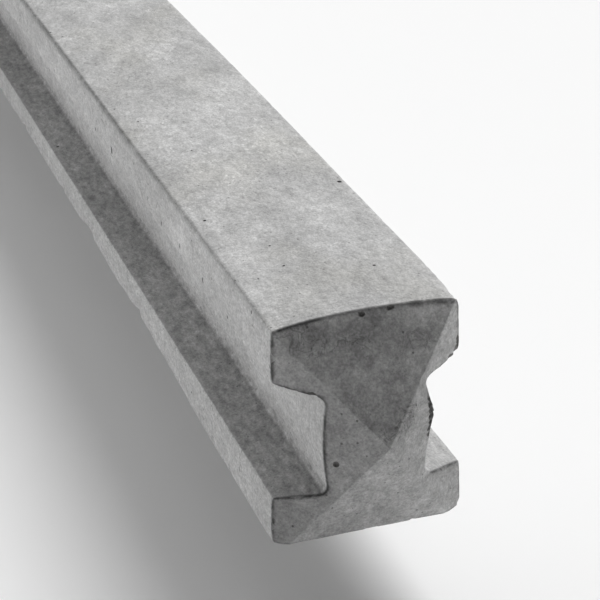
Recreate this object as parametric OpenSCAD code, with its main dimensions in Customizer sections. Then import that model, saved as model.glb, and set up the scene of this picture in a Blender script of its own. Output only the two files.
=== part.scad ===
// Slotted concrete fence post of H section, lying on its wider broad face.
// X runs across the post, Y along it and Z up. The weathered cap is at the -Y end.
// The origin is on the ground, under the middle of the post.

/* [Post] */
// Length from the tip of the cap to the foot face
post_length = 1800; // [1200:50:2700]
// Height between the two broad faces, measured at their arrises
edge_height = 106; // [90:1:130]
// Rise of the crowned upper face above its arrises
crown_rise = 3; // [0.5:0.5:5]
// Width of the lower broad face
lower_width = 93; // [78:1:112]
// Width of the upper broad face
upper_width = 88; // [73:1:106]
// Radius of the long outer arrises
arris_radius = 1.5; // [0.5:0.5:3]

/* [Panel slots] */
// Thickness of the web between the two slots, at its narrow ends
web_width = 48; // [40:1:58]
// Bow of each side of the web
web_bow = 1.5; // [0.5:0.5:2.5]
// Height of the lower flange at the mouth of the slots
lower_flange = 24; // [18:1:29]
// Height of the upper flange at the mouth of the slots
upper_flange = 25.5; // [22:0.5:32]
// Rise of the slots' lower wall from the mouth to the web
lower_wall_rise = 5; // [2:0.5:9]
// Drop of the slots' upper wall from the mouth to the web
upper_wall_drop = 5; // [2:0.5:9]
// Radius of the fillets between the slot walls and the web
root_radius = 4; // [1:0.5:6]
// Radius of the arrises at the mouth of the slots
mouth_radius = 1.5; // [0.5:0.5:3]

/* [Weathered cap] */
// Rise of the four-way weathered cap
cap_rise = 28; // [15:1:40]
// Height of the cap's tip above the lower broad face
tip_height = 54.5; // [45:0.5:65]
// Distance from the sides at which the two lower creases reach the lower broad face
crease_inset = 6.5; // [2:0.5:12]

/* [Steel cage] */
// Diameter of the main bars
bar_diameter = 6; // [5:0.5:8]
// Diameter of the link wire
link_diameter = 4; // [3:0.5:5]
// Depth of the weld where a link is pressed into a bar
weld_bite = 0.4; // [0.2:0.1:0.6]
// Concrete outside the links in the web
side_cover = 7.5; // [5:0.5:10]
// Concrete outside the links at the broad faces
face_cover = 7.5; // [5:0.5:10]
// Concrete between the base of the cap and the ends of the bars
end_cover = 20; // [10:1:40]
// Distance from each end of the bars to the nearest link
link_inset = 60; // [30:5:120]

/* [Hidden] */

concrete_colour = [0.68, 0.68, 0.66];
bar_colour = [0.36, 0.27, 0.21];
link_colour = [0.42, 0.40, 0.38];

// Flat steps on each rounded corner, across the crowned face and up a side of the web
corner_steps = 4;
crown_steps = 12;
bow_steps = 6;
// Smoothness of the round steel
wire_facets = 48;
// How far the cap's facets are carried past the section, as a share of the cap
facet_reach = 1.2;
// How far cutting shapes pass the faces that they cut
pass = 5;

tip_y = -post_length / 2;
foot_y = post_length / 2;
cap_base_y = tip_y + cap_rise;
upper_mouth_z = edge_height - upper_flange;
lower_root_z = lower_flange + lower_wall_rise;
upper_root_z = upper_mouth_z - upper_wall_drop;
crease_x = lower_width / 2 - crease_inset;
crease_y = cap_base_y - cap_rise * crease_inset / (lower_width / 2);

// A bar nests in each bend of the links, on the same centre as the bend
bend_radius = (bar_diameter + link_diameter) / 2 - weld_bite;
bar_x = web_width / 2 - side_cover - link_diameter / 2 - bend_radius;
lower_bar_z = face_cover + link_diameter / 2 + bend_radius;
upper_bar_z = edge_height - face_cover - link_diameter / 2 - bend_radius;
bar_start_y = cap_base_y + end_cover;
bar_length = foot_y - bar_start_y;

link_count = 8;
link_spacing = (bar_length - 2 * link_inset) / (link_count - 1);

// Half width of the post at a height, following the draft of its sides
function half_width(z) = (lower_width + (upper_width - lower_width) * z / edge_height) / 2;

// Radius of an arc from the length of its chord and its rise
function arc_radius(chord, rise) = (pow(chord / 2, 2) + pow(rise, 2)) / (2 * rise);

// Height of an arc above its chord, at a distance from the middle of the chord
function arc_height(chord, rise, distance) =
    let (radius = arc_radius(chord, rise))
    rise - radius + sqrt(pow(radius, 2) - pow(distance, 2));

// A flat vector turned by an angle
function turned(v, angle) = [v.x * cos(angle) - v.y * sin(angle), v.x * sin(angle) + v.y * cos(angle)];

// The points of the round corner at b, between its neighbours a and c
function corner_arc(a, b, c, radius) =
    let (
        to_a = (a - b) / norm(a - b),
        to_c = (c - b) / norm(c - b),
        half_angle = acos(to_a * to_c) / 2,
        middle = (to_a + to_c) / norm(to_a + to_c),
        centre = b + middle * radius / sin(half_angle),
        start = b + to_a * radius / tan(half_angle) - centre,
        sweep = -sign(cross(to_a, to_c)) * (180 - 2 * half_angle)
    )
    [for (i = [0:corner_steps]) centre + turned(start, sweep * i / corner_steps)];

// The outline of a list of [x, z, radius] corners, each rounded by its own radius
function rounded_outline(corners) =
    let (count = len(corners), flat = [for (c = corners) [c.x, c.y]])
    [
        for (i = [0:count - 1])
            each corners[i][2] > 0
                ? corner_arc(flat[(i + count - 1) % count], flat[i], flat[(i + 1) % count], corners[i][2])
                : [flat[i]]
    ];

// The bowed right side of the web between its two fillets, from the bottom up
function web_corners() =
    let (chord = upper_root_z - lower_root_z)
    [
        for (i = [1:bow_steps - 1])
            let (up = chord * (i / bow_steps - 0.5))
            [web_width / 2 + arc_height(chord, web_bow, up), lower_root_z + chord / 2 + up, 0]
    ];

// The corners of the right half of the H section, from the lower face up
function right_corners() = [
    [lower_width / 2, 0, arris_radius],
    [half_width(lower_flange), lower_flange, mouth_radius],
    [web_width / 2, lower_root_z, root_radius],
    each web_corners(),
    [web_width / 2, upper_root_z, root_radius],
    [half_width(upper_mouth_z), upper_mouth_z, mouth_radius],
    [upper_width / 2, edge_height, arris_radius]
];

// The crowned upper face between its two arrises, from right to left
function crown_corners() = [
    for (i = [1:crown_steps - 1])
        let (x = upper_width / 2 - upper_width * i / crown_steps)
        [x, edge_height + arc_height(upper_width, crown_rise, x), 0]
];

// The corners of the left half of the H section, from the upper face down
function left_corners() =
    let (right = right_corners(), last = len(right) - 1)
    [for (i = [last:-1:0]) [-right[i].x, right[i].y, right[i][2]]];

// The H section, extruded along the whole post
module section_bar() {
    translate([0, foot_y, 0])
        rotate([90, 0, 0])
            linear_extrude(height = post_length)
                polygon(rounded_outline(concat(right_corners(), crown_corners(), left_corners())));
}

// A point past the foot of one of the cap's four creases
function cap_ray(x, y, z) =
    let (tip = [0, tip_y, tip_height])
    tip + facet_reach * ([x, y, z] - tip);

// The space inside the cap's four facets, carried on past the foot
module cap_envelope() {
    near = [
        cap_ray(-crease_x, crease_y, 0),
        cap_ray(crease_x, crease_y, 0),
        cap_ray(upper_width / 2, cap_base_y, edge_height),
        cap_ray(-upper_width / 2, cap_base_y, edge_height)
    ];
    far = [for (p = near) [p.x, foot_y + pass, p.z]];
    corners = len(near);
    tip = 2 * corners;
    facets = [for (i = [0:corners - 1]) [i, tip, (i + 1) % corners]];
    sides = [for (i = [0:corners - 1]) [i, (i + 1) % corners, corners + (i + 1) % corners, corners + i]];
    foot = [for (i = [0:corners - 1]) corners + i];
    polyhedron(
        points = concat(near, far, [[0, tip_y, tip_height]]),
        faces = concat(facets, sides, [foot])
    );
}

// One main bar, with side -1 for left or 1 for right
module main_bar(side, z) {
    color(bar_colour)
        translate([side * bar_x, bar_start_y, z])
            rotate([-90, 0, 0])
                cylinder(d = bar_diameter, h = bar_length, $fn = wire_facets);
}

module all_main_bars() {
    for (side = [-1, 1])
        for (z = [lower_bar_z, upper_bar_z])
            main_bar(side, z);
}

// One bend of a link, swept a quarter turn from the angle given
module link_bend(x, z, angle) {
    translate([x, 0, z])
        rotate([90, 0, 0])
            rotate([0, 0, angle])
                rotate_extrude(angle = 90, $fn = wire_facets)
                    translate([bend_radius, 0])
                        circle(d = link_diameter, $fn = wire_facets);
}

// One closed link, before the bars are notched into its bends
module link_ring() {
    leg_height = upper_bar_z - lower_bar_z;
    link_bend(bar_x, upper_bar_z, 0);
    link_bend(-bar_x, upper_bar_z, 90);
    link_bend(-bar_x, lower_bar_z, 180);
    link_bend(bar_x, lower_bar_z, 270);
    for (side = [-1, 1])
        translate([side * (bar_x + bend_radius), 0, lower_bar_z])
            cylinder(d = link_diameter, h = leg_height, $fn = wire_facets);
    for (z = [lower_bar_z - bend_radius, upper_bar_z + bend_radius])
        translate([-bar_x, 0, z])
            rotate([0, 90, 0])
                cylinder(d = link_diameter, h = 2 * bar_x, $fn = wire_facets);
}

module placed_link(index) {
    translate([0, bar_start_y + link_inset + link_spacing * (index - 1), 0])
        link_ring();
}

// One link with the saddles where it is welded to the four main bars
module wire_link(index) {
    color(link_colour)
        difference() {
            placed_link(index);
            all_main_bars();
        }
}

// The cast body, with the room that the cage takes up inside it
module concrete_body() {
    color(concrete_colour)
        difference() {
            intersection() {
                section_bar();
                cap_envelope();
            }
            all_main_bars();
            for (i = [1:link_count])
                placed_link(i);
        }
}

concrete_body();
main_bar(-1, lower_bar_z);  // main_bar_lower_left
main_bar(1, lower_bar_z);  // main_bar_lower_right
main_bar(-1, upper_bar_z);  // main_bar_upper_left
main_bar(1, upper_bar_z);  // main_bar_upper_right
for (i = [1:link_count])
    wire_link(i);
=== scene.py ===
"""Looks of the slotted concrete fence post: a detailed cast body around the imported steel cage."""
import math

import bmesh
import bpy
import numpy as np
from mathutils import Matrix, Vector
from mathutils.geometry import delaunay_2d_cdt


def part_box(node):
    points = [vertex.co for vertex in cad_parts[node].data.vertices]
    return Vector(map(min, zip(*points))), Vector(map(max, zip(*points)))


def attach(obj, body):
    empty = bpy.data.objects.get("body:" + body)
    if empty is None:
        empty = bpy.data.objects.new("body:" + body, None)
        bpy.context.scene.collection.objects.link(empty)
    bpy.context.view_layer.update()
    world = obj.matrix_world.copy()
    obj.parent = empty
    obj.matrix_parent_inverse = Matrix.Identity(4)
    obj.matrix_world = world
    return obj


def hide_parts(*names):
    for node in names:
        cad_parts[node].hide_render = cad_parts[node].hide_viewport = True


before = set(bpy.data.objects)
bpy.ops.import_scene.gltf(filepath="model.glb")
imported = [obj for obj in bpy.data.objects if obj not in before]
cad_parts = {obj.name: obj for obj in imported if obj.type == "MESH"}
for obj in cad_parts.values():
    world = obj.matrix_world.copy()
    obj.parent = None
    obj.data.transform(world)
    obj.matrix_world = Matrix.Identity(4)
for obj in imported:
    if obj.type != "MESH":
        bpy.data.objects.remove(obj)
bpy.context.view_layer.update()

MM = 0.001

# The section of the post, in millimetres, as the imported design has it.
LOWER_WIDTH = 93.0
UPPER_WIDTH = 88.0
EDGE_HEIGHT = 106.0
CROWN_RISE = 3.0
ARRIS_RADIUS = 1.5
WEB_WIDTH = 48.0
WEB_BOW = 1.5
LOWER_FLANGE = 24.0
UPPER_FLANGE = 25.5
LOWER_WALL_RISE = 5.0
UPPER_WALL_DROP = 5.0
ROOT_RADIUS = 4.0
MOUTH_RADIUS = 1.5
CAP_RISE = 28.0
TIP_HEIGHT = 54.5
CREASE_INSET = 6.5

# The right facet of the cap lies a little deeper than the left one.
RIGHT_CAP_RISE = 29.7

# The ends of the post along Y, from the frame.
LOW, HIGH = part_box("concrete_body")
TIP_Y = LOW.y / MM
FOOT_Y = HIGH.y / MM
CAP_BASE_Y = TIP_Y + CAP_RISE

# Places that follow from the section.
UPPER_MOUTH_Z = EDGE_HEIGHT - UPPER_FLANGE
LOWER_ROOT_Z = LOWER_FLANGE + LOWER_WALL_RISE
UPPER_ROOT_Z = UPPER_MOUTH_Z - UPPER_WALL_DROP
TOP_Z = EDGE_HEIGHT + CROWN_RISE
LOWER_REACH = CAP_RISE * (1 - CREASE_INSET / (LOWER_WIDTH / 2))

# Rounding of the rims where the sides meet the cap and the foot face.
RIM_RADIUS = 0.9

# The room of the cage lies within this half width, these heights and this far behind the cap.
CAGE_HALF_WIDTH = 22.0
CAGE_LOW_Z, CAGE_HIGH_Z = 4.0, 102.0
CAGE_BEHIND = 5.0

# How finely the surface is divided, in millimetres.
SMOOTH_STEP = 2.6
FLAT_STEPS = (1.2, 3.6, 1.5)  # the finest, the coarsest, and the growth from one to the next
STATION_PLACES = [0, 1.2, 100, 500, 1750]
STATION_STEPS = [0.4, 1.5, 2.2, 7.0, 12.0]
RIM_RINGS = (0.3, 0.7, 1.3)
CAP_SPACING = 1.1
FOOT_SPACING = 3.0

SEED = 7


def new_object(name, data):
    """A new object in the scene."""
    made = bpy.data.objects.new(name, data)
    bpy.context.scene.collection.objects.link(made)
    return made


def half_width(z):
    """Half width of the post at a height, following the draft of its sides."""
    return (LOWER_WIDTH + (UPPER_WIDTH - LOWER_WIDTH) * z / EDGE_HEIGHT) / 2


def arc_height(chord, rise, distance):
    """Height of an arc above its chord, at a distance from the chord's middle."""
    radius = ((chord / 2) ** 2 + rise ** 2) / (2 * rise)
    return rise - radius + math.sqrt(radius ** 2 - distance ** 2)


# ---------------- noise

def lattice(cells, seed):
    """One repeatable random number from -1 to 1 for each row of whole numbers."""
    mixed = cells[:, 0] * 73856093 ^ cells[:, 1] * 19349663 ^ cells[:, 2] * 83492791
    mixed = (mixed ^ seed * 2654435761) & 0xFFFFFFFF
    mixed = ((mixed ^ (mixed >> 15)) * 2246822519) & 0xFFFFFFFF
    mixed = ((mixed ^ (mixed >> 13)) * 3266489917) & 0xFFFFFFFF
    mixed = mixed ^ (mixed >> 16)
    return mixed / 0x7FFFFFFF - 1.0


def value_noise(points, cell, seed):
    """Smooth noise from -1 to 1 that varies over about one cell, in millimetres."""
    scaled = points / np.asarray(cell, float)
    low = np.floor(scaled).astype(np.int64)
    part = scaled - low
    part = part * part * (3 - 2 * part)
    total = np.zeros(len(points))
    for corner in np.ndindex(2, 2, 2):
        weight = np.ones(len(points))
        for axis in range(3):
            weight *= part[:, axis] if corner[axis] else 1 - part[:, axis]
        total += weight * lattice(low + np.array(corner), seed)
    return total


def layered_noise(points, cell, seed, layers=3):
    """Noise with finer layers added, each of half the size and half the height."""
    total = np.zeros(len(points))
    for layer in range(layers):
        finer = np.asarray(cell, float) / 2 ** layer
        total += value_noise(points, finer, seed + 11 * layer) / 2 ** layer
    return total / 1.75


# ---------------- section

def section_corners():
    """The corners of the H section as (x, z, radius), anticlockwise seen from the cap."""
    chord = UPPER_ROOT_Z - LOWER_ROOT_Z
    right = [
        (LOWER_WIDTH / 2, 0, ARRIS_RADIUS),
        (half_width(LOWER_FLANGE), LOWER_FLANGE, MOUTH_RADIUS),
        (WEB_WIDTH / 2, LOWER_ROOT_Z, ROOT_RADIUS),
    ]
    for step in range(1, 6):
        up = chord * (step / 6 - 0.5)
        x = WEB_WIDTH / 2 + arc_height(chord, WEB_BOW, up)
        right.append((x, LOWER_ROOT_Z + chord / 2 + up, 0))
    right += [
        (WEB_WIDTH / 2, UPPER_ROOT_Z, ROOT_RADIUS),
        (half_width(UPPER_MOUTH_Z), UPPER_MOUTH_Z, MOUTH_RADIUS),
        (UPPER_WIDTH / 2, EDGE_HEIGHT, ARRIS_RADIUS),
    ]
    crown = []
    for step in range(1, 20):
        x = UPPER_WIDTH * (0.5 - step / 20)
        crown.append((x, EDGE_HEIGHT + arc_height(UPPER_WIDTH, CROWN_RISE, x), 0))
    left = [(-x, z, radius) for x, z, radius in reversed(right)]
    return right + crown + left


def round_corner(a, b, c, radius, steps):
    """Points of the arc that rounds corner b, between its neighbours a and c."""
    to_a = (a - b) / np.linalg.norm(a - b)
    to_c = (c - b) / np.linalg.norm(c - b)
    half = math.acos(float(to_a @ to_c)) / 2
    middle = (to_a + to_c) / np.linalg.norm(to_a + to_c)
    centre = b + middle * radius / math.sin(half)
    start = b + to_a * radius / math.tan(half) - centre
    sweep = -math.copysign(math.pi - 2 * half, to_a[0] * to_c[1] - to_a[1] * to_c[0])
    arc = []
    for step in range(steps + 1):
        turn = sweep * step / steps
        spin = np.array([[math.cos(turn), -math.sin(turn)], [math.sin(turn), math.cos(turn)]])
        arc.append(centre + spin @ start)
    return arc


def graded(length, fine, coarse, growth):
    """Distances that divide a length, fine at both ends and coarser in the middle."""
    half = []
    at, step = 0.0, fine
    while at + step < length / 2:
        at += step
        half.append(at)
        step = min(step * growth, coarse)
    return half + [length - d for d in reversed(half)]


def section_outline():
    """The outline of the section as points, with more of them near its arrises."""
    corners = section_corners()
    flat = [np.array(c[:2], float) for c in corners]
    runs = []
    for i, (x, z, radius) in enumerate(corners):
        before, after = flat[i - 1], flat[(i + 1) % len(flat)]
        runs.append(round_corner(before, flat[i], after, radius, 4) if radius else [flat[i]])
    points = []
    for i, run in enumerate(runs):
        points += run
        start, end = run[-1], runs[(i + 1) % len(runs)][0]
        length = np.linalg.norm(end - start)
        smooth = len(run) == 1 and len(runs[(i + 1) % len(runs)]) == 1
        spaced = np.linspace(0, length, 1 + math.ceil(length / SMOOTH_STEP))[1:-1]
        for d in spaced if smooth else graded(length, *FLAT_STEPS):
            points.append(start + (end - start) * d / length)
    return np.array(points)


def stations():
    """Distances behind the rim of the cap, close together near the cap."""
    found = [0.0]
    while found[-1] < FOOT_Y - CAP_BASE_Y:
        at = found[-1]
        found.append(at + np.interp(at, STATION_PLACES, STATION_STEPS))
    scale = (FOOT_Y - CAP_BASE_Y) / found[-1]
    return np.array(found) * scale


def cap_height(x, z):
    """How far the cap's surface lies behind its tip, at a point of the section."""
    x, z = np.asarray(x, float), np.asarray(z, float)
    rise = np.where(x > 0, RIGHT_CAP_RISE, CAP_RISE)
    side = rise * np.abs(x) / half_width(np.clip(z, 0, EDGE_HEIGHT))
    top = CAP_RISE * (z - TIP_HEIGHT) / (EDGE_HEIGHT - TIP_HEIGHT)
    bottom = LOWER_REACH * (TIP_HEIGHT - z) / TIP_HEIGHT
    return np.maximum.reduce([side, top, bottom])


# ---------------- mesh of the cast body

def outline_distance(points, outline):
    """Shortest distance from each flat point to the outline."""
    start = outline
    along = np.roll(outline, -1, axis=0) - start
    length2 = (along ** 2).sum(1)
    best = np.full(len(points), 1e9)
    for a, d, l2 in zip(start, along, length2):
        t = np.clip(((points - a) @ d) / l2, 0, 1)
        best = np.minimum(best, np.linalg.norm(points - a - t[:, None] * d, axis=1))
    return best


def inside(points, outline):
    """Whether each flat point lies within the outline."""
    x, z = points[:, 0], points[:, 1]
    odd = np.zeros(len(points), bool)
    ends = np.roll(outline, -1, axis=0)
    for (ax, az), (bx, bz) in zip(outline, ends):
        if az == bz:
            continue
        crosses = (az > z) != (bz > z)
        odd ^= crosses & (x < (bx - ax) * (z - az) / (bz - az) + ax)
    return odd


def rim_drop(distance):
    """How far a rounded rim falls away from its face, at a distance from the outline."""
    away = np.clip(RIM_RADIUS - distance, 0, RIM_RADIUS)
    return RIM_RADIUS - np.sqrt(RIM_RADIUS ** 2 - away ** 2)


def face_points(outline, spacing, holes=()):
    """Flat points that fill the section: rings inside the outline, then a loose grid."""
    ahead = np.roll(outline, -1, axis=0) - np.roll(outline, 1, axis=0)
    inward = np.stack([-ahead[:, 1], ahead[:, 0]], 1) / np.linalg.norm(ahead, axis=1)[:, None]
    rings = [outline + inward * depth for depth in RIM_RINGS]
    rng = np.random.default_rng(SEED)
    across = np.arange(-LOWER_WIDTH / 2, LOWER_WIDTH / 2, spacing)
    up = np.arange(0, TOP_Z, spacing)
    grid = np.stack(np.meshgrid(across, up), -1).reshape(-1, 2)
    grid = grid + rng.uniform(-0.25, 0.25, grid.shape) * spacing
    grid = grid[inside(grid, outline)]
    grid = grid[outline_distance(grid, outline) > RIM_RINGS[-1] + spacing * 0.45]
    for centre, radius in holes:
        grid = grid[np.linalg.norm(grid - centre, axis=1) > radius + spacing * 0.5]
    return rings, grid


def fill_face(outline, spacing, crease_lines=(), hole_loops=()):
    """Flat points and triangles that fill the outline. The outline's points come first."""
    holes = [(loop.mean(0), np.linalg.norm(loop[0] - loop.mean(0))) for loop in hole_loops]
    rings, grid = face_points(outline, spacing, holes)
    points = [outline, *rings, grid, *hole_loops]
    edges = [(i, (i + 1) % len(outline)) for i in range(len(outline))]
    count = len(outline) + sum(map(len, rings)) + len(grid)
    for loop in hole_loops:
        edges += [(count + i, count + (i + 1) % len(loop)) for i in range(len(loop))]
        count += len(loop)
    for line in crease_lines:
        points.append(line)
        edges += [(count + i, count + i + 1) for i in range(len(line) - 1)]
        count += len(line)
    joined = np.concatenate(points)
    places = [Vector(p) for p in joined]
    verts, _, faces, originals, _, _ = delaunay_2d_cdt(places, edges, [], 1, 1e-6)
    flat = np.array([v[:] for v in verts])
    for new, old in enumerate(originals):
        if old:
            flat[new] = joined[old[0]]
    triangles = np.array(faces)
    centres = flat[triangles].mean(1)
    keep = inside(centres, outline)
    for centre, radius in holes:
        keep &= np.linalg.norm(centres - centre, axis=1) > radius
    return flat, triangles[keep]


def near_cage(x, y, z):
    """Whether a place lies where the body's only surface is the room of the cage."""
    across = (abs(x) < CAGE_HALF_WIDTH) & (z > CAGE_LOW_Z) & (z < CAGE_HIGH_Z)
    return across & (y > CAP_BASE_Y + CAGE_BEHIND)


def cavity():
    """The room of the cage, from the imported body: points, faces and rims in the foot face."""
    source = bmesh.new()
    source.from_mesh(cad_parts["concrete_body"].data)
    bmesh.ops.remove_doubles(source, verts=source.verts, dist=1e-6)
    outer = []
    for face in source.faces:
        places = [v.co / MM for v in face.verts]
        at_foot = all(p.y > FOOT_Y - 1e-3 for p in places)
        if at_foot or not all(near_cage(*p) for p in places):
            outer.append(face)
    bmesh.ops.delete(source, geom=outer, context="FACES")
    source.verts.ensure_lookup_table()
    source.verts.index_update()
    points = np.array([v.co[:] for v in source.verts]) / MM
    faces = [[v.index for v in face.verts] for face in source.faces]
    rims = []
    unused = {e for e in source.edges if e.is_boundary}
    while unused:
        edge = unused.pop()
        loop = [edge.verts[0], edge.verts[1]]
        while loop[-1] is not loop[0]:
            edge = next(e for e in loop[-1].link_edges if e in unused)
            unused.discard(edge)
            loop.append(edge.other_vert(loop[-1]))
        rims.append(np.array([[v.co.x, v.co.z] for v in loop[:-1]]) / MM)
    source.free()
    return points, faces, rims


def crease_lines():
    """The cap's four creases, as rows of flat points from the tip to near the rim."""
    shallower = CAP_RISE / RIGHT_CAP_RISE
    low_x = LOWER_WIDTH / 2 - CREASE_INSET
    ends = [
        (-low_x, 0),
        (low_x * shallower, 0),
        (UPPER_WIDTH / 2 * shallower, EDGE_HEIGHT),
        (-UPPER_WIDTH / 2, EDGE_HEIGHT),
    ]
    tip = np.array([0.0, TIP_HEIGHT])
    share = np.linspace(0, 0.96, 50)[:, None]
    return [tip + (np.array(end) - tip) * share for end in ends]


def body_shell():
    """Points and faces of the cast body before its wear: skin, cap, foot face and cavity."""
    outline = section_outline()
    count = len(outline)
    rim_y = TIP_Y + cap_height(outline[:, 0], outline[:, 1]) + RIM_RADIUS
    behind = stations()
    base_y = CAP_BASE_Y + RIM_RADIUS
    points, faces = [], []
    for at in behind:
        level = base_y + at * (FOOT_Y - RIM_RADIUS - base_y) / behind[-1]
        ease = np.clip(1 - at / 60, 0, 1) ** 2
        y = level + (rim_y - base_y) * ease
        points.append(np.stack([outline[:, 0], y, outline[:, 1]], 1))
    for ring in range(len(behind) - 1):
        for i in range(count):
            j = (i + 1) % count
            low, high = ring * count, (ring + 1) * count
            faces.append([low + i, low + j, high + j, high + i])
    total = count * len(behind)

    flat, triangles = fill_face(outline, CAP_SPACING, crease_lines=crease_lines())
    drop = rim_drop(outline_distance(flat, outline))
    y = TIP_Y + cap_height(flat[:, 0], flat[:, 1]) + drop
    points.append(np.stack([flat[:, 0], y, flat[:, 1]], 1))
    faces += [[total + a, total + b, total + c] for a, b, c in triangles]
    total += len(flat)

    hollow, hollow_faces, rims = cavity()
    flat, triangles = fill_face(outline, FOOT_SPACING, hole_loops=rims)
    y = FOOT_Y - rim_drop(outline_distance(flat, outline))
    points.append(np.stack([flat[:, 0], y, flat[:, 1]], 1))
    faces += [[total + a, total + c, total + b] for a, b, c in triangles]
    total += len(flat)

    points.append(hollow)
    faces += [[total + i for i in face] for face in hollow_faces]
    return np.concatenate(points), faces


ARRISES = [
    (side * x, z)
    for side in (-1, 1)
    for x, z in (
        (LOWER_WIDTH / 2, 0),
        (half_width(LOWER_FLANGE), LOWER_FLANGE),
        (half_width(UPPER_MOUTH_Z), UPPER_MOUTH_Z),
        (UPPER_WIDTH / 2, EDGE_HEIGHT),
    )
]


def smooth_step(value, low, high):
    """0 below low, 1 above high, and a smooth rise in between."""
    t = np.clip((value - low) / (high - low), 0, 1)
    return t * t * (3 - 2 * t)


def bell(value, middle, width):
    """1 at the middle, falling to 0 on both sides."""
    return np.exp(-(((value - middle) / width) ** 2))


def rim_distance(points):
    """Distance from each point of the surface to the rim round the cap."""
    behind = np.maximum(0, points[:, 1] - TIP_Y - cap_height(points[:, 0], points[:, 2]))
    found = np.full(len(points), 99.0)
    near = behind < 12
    from_outline = outline_distance(points[near][:, (0, 2)], section_outline())
    found[near] = np.hypot(from_outline, behind[near])
    return found


# Wear of the long arrises: how far it reaches, and its share at the upper ones and the others.
WEAR_REACH = 2.6
UPPER_WEAR, OTHER_WEAR = 0.4, 0.9
# The upper right arris is worn more near the cap: by how much, and over what length.
RIGHT_WEAR, RIGHT_WEAR_LENGTH = 1.6, 22


def along_post(points, shift=0):
    """The points moved to a line along the post, so that noise varies along it alone."""
    line = np.zeros_like(points)
    line[:, 0] = shift
    line[:, 1] = points[:, 1]
    return line


def arris_wear(points):
    """How far each point has worn back along the long arrises, in millimetres."""
    wear = np.zeros(len(points))
    for index, (x, z) in enumerate(ARRISES):
        distance = np.hypot(points[:, 0] - x, points[:, 2] - z)
        near = bell(distance, 0, WEAR_REACH)
        line = along_post(points, 40 * index)
        slow = layered_noise(line, (50, 45, 50), SEED + index) * 0.5 + 0.5
        quick = layered_noise(line, (9, 7, 9), SEED + 20 + index) * 0.5 + 0.5
        depth = 0.2 + 0.6 * slow ** 2 + 0.9 * np.clip(quick - 0.55, 0, 1) * 2
        amount = UPPER_WEAR if z == EDGE_HEIGHT else OTHER_WEAR
        if z == EDGE_HEIGHT and x > 0:
            amount = amount + RIGHT_WEAR * bell(points[:, 1], CAP_BASE_Y, RIGHT_WEAR_LENGTH)
        wear += near * depth * amount
    return wear


# The lower left arris has crumbled away, apart from its first part behind the cap.
CRUMBLED_DEPTH = 6.5
CRUMBLED_FROM, CRUMBLED_FULL = 60, 230
# Deeper bites out of it: (distance behind the cap's base, half length), and their depth.
CRUMBLED_BITES = [(244, 6), (368, 11), (444, 8), (572, 7)]
BITE_DEPTH = 3.0


def crumble(points):
    """Moves of the points of the lower left arris to where it has broken back."""
    behind = points[:, 1] - CAP_BASE_Y
    line = along_post(points)
    reach = CRUMBLED_DEPTH * smooth_step(behind, CRUMBLED_FROM, CRUMBLED_FULL)
    coarse = 0.3 * layered_noise(line, (9, 40, 9), SEED + 60)
    fine = 0.08 * layered_noise(line, (9, 7, 9), SEED + 61)
    reach = reach * (1 + coarse + fine)
    for at, width in CRUMBLED_BITES:
        reach = reach + BITE_DEPTH * bell(behind, at, width)
    across = points[:, 0] + half_width(np.clip(points[:, 2], 0, EDGE_HEIGHT))
    short = np.clip(reach - np.maximum(across, 0) - np.maximum(points[:, 2], 0), 0, None)
    moves = np.zeros_like(points)
    moves[:, 0] = short / 2
    moves[:, 2] = short / 2
    return moves


# Swells and hollows of the right side of the web near the cap: (height, half width, amount).
WEB_SWELLS = [(59, 7, 2.4), (36, 8, -1.2), (77, 4, -1.6)]
# Shift to the right and lift of the right upper flange: at the cap, and how much more far away.
FLANGE_SHIFT = (0.3, 1.7)
FLANGE_LIFT = (0.8, 1.6)
FLANGE_DRIFT_END = 380


def web_bulge(z):
    """How far the right side of the web stands out near the cap, at a height."""
    return sum(amount * bell(z, middle, width) for middle, width, amount in WEB_SWELLS)


def right_side(points):
    """Moves of the right side, which the mould has left a little out of true."""
    x, z = points[:, 0], points[:, 2]
    behind = points[:, 1] - CAP_BASE_Y
    moves = np.zeros_like(points)
    drift = smooth_step(behind, -20, FLANGE_DRIFT_END)
    flange = smooth_step(x, 26, 40) * smooth_step(z, 77, 84)
    moves[:, 0] += flange * (FLANGE_SHIFT[0] + FLANGE_SHIFT[1] * drift)
    flange_top = smooth_step(x, 6, 42) * smooth_step(z, 88, 106)
    lift = flange_top * (FLANGE_LIFT[0] + FLANGE_LIFT[1] * drift)
    moves[:, 2] += np.minimum(lift, np.maximum(TOP_Z - 0.1 - z, 0))
    web = smooth_step(x, 19, 22) * (1 - smooth_step(x, 30, 34)) * (z > 28) * (z < 80)
    moves[:, 0] += web * web_bulge(z) * (1 - smooth_step(behind, 2, 26))
    return moves


# Depths of the surface's waves and grain, and how far the rim of the cap is broken back.
BROAD_DEPTH = 0.3
GRAIN_DEPTH = 0.16
RIM_RAGGED = 0.9


def surface_relief(points):
    """How far the cast surface lies below its true plane, in millimetres."""
    broad = layered_noise(points, (45, 90, 45), SEED + 40) * 0.5 + 0.5
    grain = layered_noise(points, (5, 3.5, 5), SEED + 50) * 0.5 + 0.5
    return BROAD_DEPTH * broad + GRAIN_DEPTH * grain


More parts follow.
